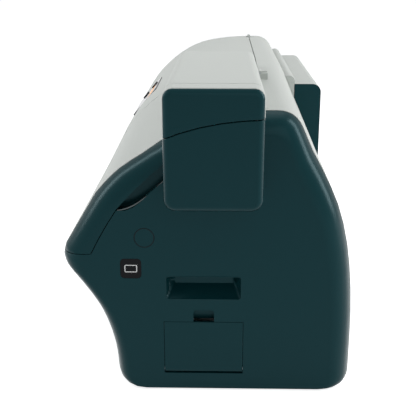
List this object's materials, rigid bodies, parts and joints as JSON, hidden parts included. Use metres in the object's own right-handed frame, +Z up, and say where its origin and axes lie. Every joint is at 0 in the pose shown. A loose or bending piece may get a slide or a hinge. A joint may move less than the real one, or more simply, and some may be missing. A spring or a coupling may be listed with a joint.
{
  "type": "card printer",
  "caption": "Desktop card printer: rounded body with a lift-up hood, card feeder at one end, card tray at the other, rollers, ribbon and print head inside.",
  "frame": {"origin": "centre of the footprint of the whole printer, on the surface it stands on", "axes": "+X to the end with the card feeder, -Y to the front with the control panel, +Z up"},
  "size_m": [0.699, 0.2782, 0.306],
  "materials": {
    "shell_grey": "fine satin moulding grain",
    "dark_teal": "satin, slightly soft sheen",
    "display_black": "glossy lens",
    "display_orange": "lit header strip",
    "key_black": "satin",
    "steel": "zinc plated sheet",
    "roller_rubber": "ground rubber on a steel shaft",
    "foot_rubber": "matt",
    "card_white": "blank card stock",
    "inner_black": "moulded",
    "motor_metal": "black oxide",
    "gear_white": "natural acetal",
    "ribbon_blue": "inked film",
    "tray_grey": "moulded",
    "board_green": "solder mask",
    "zinc": "folded cover"
  },
  "bodies": {
    "casing": {"base_pan": "dark_teal", "front_lower_panel": "dark_teal", "rear_cover": "shell_grey", "end_cap_right": "dark_teal", "end_cap_left": "dark_teal", "feeder_body": "dark_teal", "hinge_pins": "steel", "hatch_pins": "steel", "hole_plug": "dark_teal", "reader_pad": "display_black", "rear_unit_shell": "dark_teal", "rear_unit_top": "shell_grey", "rear_rib": "shell_grey", "feet": "foot_rubber", "output_hopper": "dark_teal", "printed_cards": "card_white", "chassis_front_plate": "steel", "chassis_rear_plate": "steel", "chassis_base": "steel", "feeder_cradle": "inner_black", "card_stack": "card_white", "drive_belt": "roller_rubber", "motor": "motor_metal", "ribbon_film": "ribbon_blue", "ribbon_tray": "tray_grey", "main_board": "board_green", "power_supply": "zinc", "port_panel": "inner_black", "power_inlet": "inner_black", "fan_frame": "inner_black", "casing_screws": "steel"},
    "hood": {"hood_front": "shell_grey", "hood_top": "shell_grey", "hood_band_right": "dark_teal", "hood_band_left": "dark_teal", "feeder_hump": "shell_grey", "feeder_lid_rim": "shell_grey", "feeder_lid_face": "dark_teal", "display_lens": "display_black", "display_header": "display_orange"},
    "power_key": {"power_key": "key_black"},
    "menu_key": {"menu_key": "key_black"},
    "hatch": {"service_hatch": "dark_teal"},
    "card_weight": {"card_weight": "inner_black"},
    "feed_roller": {"feed_roller": "roller_rubber"},
    "cleaning_roller": {"cleaning_roller": "roller_rubber"},
    "platen_roller": {"platen_roller": "roller_rubber"},
    "transport_roller": {"transport_roller": "roller_rubber"},
    "exit_roller": {"exit_roller": "roller_rubber"},
    "pinch_roller": {"pinch_roller": "roller_rubber"},
    "motor_pinion": {"motor_pinion": "gear_white"},
    "head": {"head_lever": "steel", "print_head": "motor_metal"},
    "supply_spool": {"supply_spool": "ribbon_blue"},
    "takeup_spool": {"takeup_spool": "ribbon_blue"},
    "power_rocker": {"power_rocker": "key_black"},
    "fan_rotor": {"fan_rotor": "inner_black"}
  },
  "joints": [
    {"name": "hood_hinge", "type": "hinge", "parent": "casing", "child": "hood", "pos_m": [0, 0.0515, 0.291], "axis": [-1, 0, 0], "range_deg": [0, 75]},
    {"name": "power_key_press", "type": "slide", "parent": "hood", "child": "power_key", "axis": [0, 0.7608, -0.649], "range_m": [0, 0.001], "stiffness_N_per_m": 500},
    {"name": "menu_key_press", "type": "slide", "parent": "hood", "child": "menu_key", "axis": [0, 0.7608, -0.649], "range_m": [0, 0.001], "stiffness_N_per_m": 500},
    {"name": "hatch_hinge", "type": "hinge", "parent": "casing", "child": "hatch", "pos_m": [0.305, 0, 0.0225], "axis": [0, 1, 0], "range_deg": [0, 90]},
    {"name": "card_weight_lift", "type": "slide", "parent": "casing", "child": "card_weight", "axis": [0, 0, 1], "range_m": [0, 0.028]},
    {"name": "feed_spin", "type": "hinge", "parent": "casing", "child": "feed_roller", "pos_m": [0.276, 0.00525, 0.199], "axis": [0, 1, 0], "continuous": true},
    {"name": "cleaning_spin", "type": "hinge", "parent": "casing", "child": "cleaning_roller", "pos_m": [0.2, 0.00525, 0.199], "axis": [0, 1, 0], "continuous": true},
    {"name": "platen_spin", "type": "hinge", "parent": "casing", "child": "platen_roller", "pos_m": [0, 0.00525, 0.199], "axis": [0, 1, 0], "continuous": true},
    {"name": "transport_spin", "type": "hinge", "parent": "casing", "child": "transport_roller", "pos_m": [-0.11, 0.00525, 0.199], "axis": [0, 1, 0], "continuous": true},
    {"name": "exit_spin", "type": "hinge", "parent": "casing", "child": "exit_roller", "pos_m": [-0.222, 0.00525, 0.199], "axis": [0, 1, 0], "continuous": true},
    {"name": "pinch_spin", "type": "hinge", "parent": "casing", "child": "pinch_roller", "pos_m": [0.2, 0.00525, 0.213], "axis": [0, 1, 0], "continuous": true},
    {"name": "motor_spin", "type": "hinge", "parent": "casing", "child": "motor_pinion", "pos_m": [0.01438, 0.0665, 0.1741], "axis": [0, 1, 0], "continuous": true},
    {"name": "head_lift", "type": "hinge", "parent": "casing", "child": "head", "pos_m": [-0.026, 0.00525, 0.238], "axis": [0, -1, 0], "range_deg": [0, 18]},
    {"name": "supply_spin", "type": "hinge", "parent": "casing", "child": "supply_spool", "pos_m": [0.06, 0.00525, 0.248], "axis": [0, 1, 0], "continuous": true},
    {"name": "takeup_spin", "type": "hinge", "parent": "casing", "child": "takeup_spool", "pos_m": [-0.06, 0.00525, 0.248], "axis": [0, 1, 0], "continuous": true},
    {"name": "rocker_tilt", "type": "hinge", "parent": "casing", "child": "power_rocker", "pos_m": [0.124, 0.126, 0.044], "axis": [0, 0, 1], "range_deg": [0, 14]},
    {"name": "fan_spin", "type": "hinge", "parent": "casing", "child": "fan_rotor", "pos_m": [-0.16, 0.125, 0.068], "axis": [0, 1, 0], "continuous": true}
  ],
  "couplings": [
    {"joint": "feed_spin", "follows": "platen_spin", "ratio": 1},
    {"joint": "cleaning_spin", "follows": "platen_spin", "ratio": 1},
    {"joint": "transport_spin", "follows": "platen_spin", "ratio": 1},
    {"joint": "exit_spin", "follows": "platen_spin", "ratio": 1},
    {"joint": "pinch_spin", "follows": "platen_spin", "ratio": -1.1667},
    {"joint": "motor_spin", "follows": "platen_spin", "ratio": -2.2857}
  ]
}
